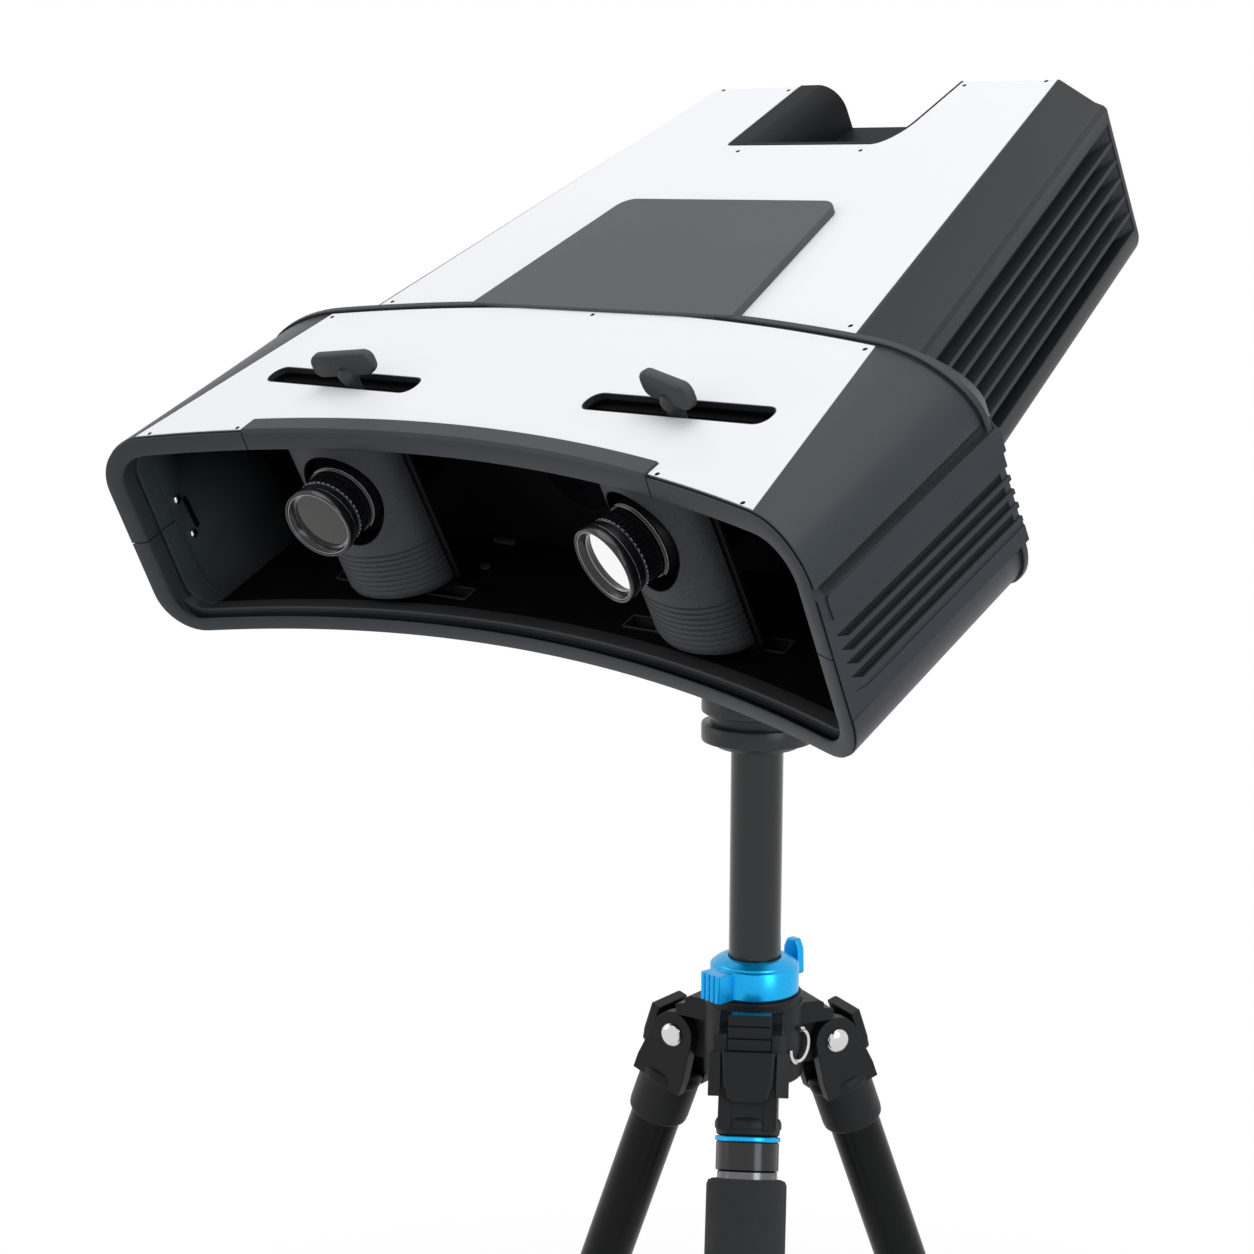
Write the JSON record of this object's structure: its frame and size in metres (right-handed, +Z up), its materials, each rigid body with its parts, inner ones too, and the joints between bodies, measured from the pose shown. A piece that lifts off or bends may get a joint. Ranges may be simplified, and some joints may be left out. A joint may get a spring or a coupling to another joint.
{
  "type": "structured light 3d scanner on a tripod",
  "caption": "Structured-light measuring scanner: a wide open hood with sliding toed-in cameras before a vented rear housing, on a pan and tilt head and tripod.",
  "frame": {"origin": "on the ground under the middle of the whole bounding box", "axes": "+Z up, -Y towards what is scanned, +X to the right as seen from the front"},
  "size_m": [0.4766, 0.4378, 0.9097],
  "materials": {
    "black_plastic": "fine grained black moulding",
    "white_panel": "smooth white paint",
    "grey_plastic": "fine grained grey moulding",
    "pod_plastic": "satin dark grey moulding",
    "rail_metal": "black anodised",
    "lens_metal": "black anodised, knurled",
    "lens_glass": "coated optical glass",
    "dark_window": "dark window",
    "tripod_metal": "dark grey satin coating",
    "blue_metal": "bright blue anodised",
    "polished_steel": "polished",
    "foam": "closed-cell foam",
    "rubber": "moulded rubber",
    "circuit": "green solder mask"
  },
  "bodies": {
    "stand": {"crown": "tripod_metal", "column_collar": "blue_metal", "front_leg_bolt": "polished_steel", "left_leg_bolt": "polished_steel", "right_leg_bolt": "polished_steel"},
    "column": {"column": "tripod_metal", "head_base": "tripod_metal"},
    "column_clamp": {"column_wing_knob": "blue_metal"},
    "hook": {"weight_hook": "polished_steel"},
    "pan_clamp": {"pan_knob": "rubber"},
    "pan_head": {"pan_turret": "tripod_metal"},
    "tilt_clamp": {"tilt_knob": "rubber"},
    "front_leg": {"front_leg_upper": "tripod_metal", "foam_grip": "foam"},
    "front_leg_tip": {"front_leg_lower": "tripod_metal", "front_foot": "rubber"},
    "front_lock": {"front_angle_lock": "black_plastic"},
    "left_leg": {"left_leg_upper": "tripod_metal"},
    "left_leg_tip": {"left_leg_lower": "tripod_metal", "left_foot": "rubber"},
    "left_lock": {"left_angle_lock": "black_plastic"},
    "right_leg": {"right_leg_upper": "tripod_metal"},
    "right_leg_tip": {"right_leg_lower": "tripod_metal", "right_foot": "rubber"},
    "right_lock": {"right_angle_lock": "black_plastic"},
    "left_camera": {"left_pod_cover": "pod_plastic", "left_camera_body": "lens_metal", "left_lens_barrel": "lens_metal", "left_front_lens": "lens_glass"},
    "left_focus": {"left_focus_ring": "lens_metal"},
    "left_lever": {"left_clamp_lever": "grey_plastic"},
    "right_camera": {"right_pod_cover": "pod_plastic", "right_camera_body": "lens_metal", "right_lens_barrel": "lens_metal", "right_front_lens": "lens_glass"},
    "right_focus": {"right_focus_ring": "lens_metal"},
    "right_lever": {"right_clamp_lever": "grey_plastic"},
    "fan": {"fan_rotor": "black_plastic"},
    "button": {"power_button": "grey_plastic"},
    "scanner": {"front_upper_shell": "black_plastic", "front_lower_shell": "black_plastic", "front_top_panel": "white_panel", "front_trim_strip": "grey_plastic", "right_side_pad": "black_plastic", "left_side_pad": "black_plastic", "rear_collar": "black_plastic", "rear_shell": "black_plastic", "rear_top_panel": "white_panel", "cover_plate": "grey_plastic", "cable_recess": "black_plastic", "connector_panel": "grey_plastic", "carriage_rail": "rail_metal", "bulkhead": "black_plastic", "projector_window": "dark_window", "projector_body": "rail_metal", "control_board": "circuit", "fan_frame": "black_plastic", "right_vent_grille": "grey_plastic", "left_vent_grille": "grey_plastic", "tilt_cradle": "tripod_metal"}
  },
  "joints": [
    {"name": "column_height", "type": "slide", "parent": "stand", "child": "column", "axis": [0, 0, 1], "range_m": [-0.1, 0.13]},
    {"name": "column_clamp_turn", "type": "hinge", "parent": "stand", "child": "column_clamp", "pos_m": [0, 0.03141, 0.43612], "axis": [0.0872, 0.9962, 0], "range_deg": [-90, 90]},
    {"name": "hook_swing", "type": "hinge", "parent": "stand", "child": "hook", "pos_m": [0.02852, 0.03542, 0.40952], "axis": [0.9903, 0.1392, 0], "range_deg": [-30, 30]},
    {"name": "pan", "type": "hinge", "parent": "column", "child": "pan_head", "pos_m": [0, 0.03141, 0.57], "axis": [0, 0, 1], "continuous": true},
    {"name": "pan_clamp_turn", "type": "hinge", "parent": "column", "child": "pan_clamp", "pos_m": [0, 0.03141, 0.56952], "axis": [-0.6428, 0.766, 0], "range_deg": [-180, 180]},
    {"name": "tilt", "type": "hinge", "parent": "pan_head", "child": "scanner", "pos_m": [0, 0.03141, 0.69053], "axis": [1, 0, 0], "range_deg": [-50, 40]},
    {"name": "tilt_clamp_turn", "type": "hinge", "parent": "pan_head", "child": "tilt_clamp", "pos_m": [0, 0.03141, 0.69053], "axis": [1, 0, 0], "range_deg": [-180, 180]},
    {"name": "fan_spin", "type": "hinge", "parent": "scanner", "child": "fan", "pos_m": [0, 0.13986, 0.84602], "axis": [0, 0.8805, 0.4741], "continuous": true},
    {"name": "power_press", "type": "slide", "parent": "scanner", "child": "button", "axis": [0, -0.8805, -0.4741], "range_m": [0, 0.0015], "stiffness_N_per_m": 400, "springref_m": -0.001},
    {"name": "left_camera_slide", "type": "slide", "parent": "scanner", "child": "left_camera", "axis": [1, 0, 0], "range_m": [-0.048, 0.036]},
    {"name": "left_lever_turn", "type": "hinge", "parent": "left_camera", "child": "left_lever", "pos_m": [-0.1018, -0.15942, 0.7587], "axis": [0, -0.4741, 0.8805], "range_deg": [0, 90]},
    {"name": "left_focus_turn", "type": "hinge", "parent": "left_camera", "child": "left_focus", "pos_m": [-0.0976, -0.15829, 0.71104], "axis": [0.1908, -0.8643, -0.4654], "range_deg": [-60, 60]},
    {"name": "right_camera_slide", "type": "slide", "parent": "scanner", "child": "right_camera", "axis": [1, 0, 0], "range_m": [-0.048, 0.036]},
    {"name": "right_lever_turn", "type": "hinge", "parent": "right_camera", "child": "right_lever", "pos_m": [0.1138, -0.15942, 0.7587], "axis": [0, -0.4741, 0.8805], "range_deg": [0, 90]},
    {"name": "right_focus_turn", "type": "hinge", "parent": "right_camera", "child": "right_focus", "pos_m": [0.1096, -0.15829, 0.71104], "axis": [-0.1908, -0.8643, -0.4654], "range_deg": [-60, 60]},
    {"name": "front_leg_fold", "type": "hinge", "parent": "stand", "child": "front_leg", "pos_m": [0.02678, -0.00286, 0.39603], "axis": [0.788, 0.6157, 0], "range_deg": [0, 20.5]},
    {"name": "front_leg_extend", "type": "slide", "parent": "front_leg", "child": "front_leg_tip", "axis": [0.2156, -0.276, -0.9367], "range_m": [0, 0.2]},
    {"name": "front_lock_slide", "type": "slide", "parent": "front_leg", "child": "front_lock", "axis": [0.2156, -0.276, -0.9367], "range_m": [0, 0.005]},
    {"name": "left_leg_fold", "type": "hinge", "parent": "stand", "child": "left_leg", "pos_m": [-0.04308, 0.02536, 0.39603], "axis": [0.1392, -0.9903, 0], "range_deg": [0, 20.5]},
    {"name": "left_leg_extend", "type": "slide", "parent": "left_leg", "child": "left_leg_tip", "axis": [-0.3468, -0.0487, -0.9367], "range_m": [0, 0.2]},
    {"name": "left_lock_slide", "type": "slide", "parent": "left_leg", "child": "left_lock", "axis": [-0.3468, -0.0487, -0.9367], "range_m": [0, 0.005]},
    {"name": "right_leg_fold", "type": "hinge", "parent": "stand", "child": "right_leg", "pos_m": [0.0163, 0.07175, 0.39603], "axis": [-0.9272, 0.3746, 0], "range_deg": [0, 20.5]},
    {"name": "right_leg_extend", "type": "slide", "parent": "right_leg", "child": "right_leg_tip", "axis": [0.1312, 0.3247, -0.9367], "range_m": [0, 0.2]},
    {"name": "right_lock_slide", "type": "slide", "parent": "right_leg", "child": "right_lock", "axis": [0.1312, 0.3247, -0.9367], "range_m": [0, 0.005]}
  ]
}
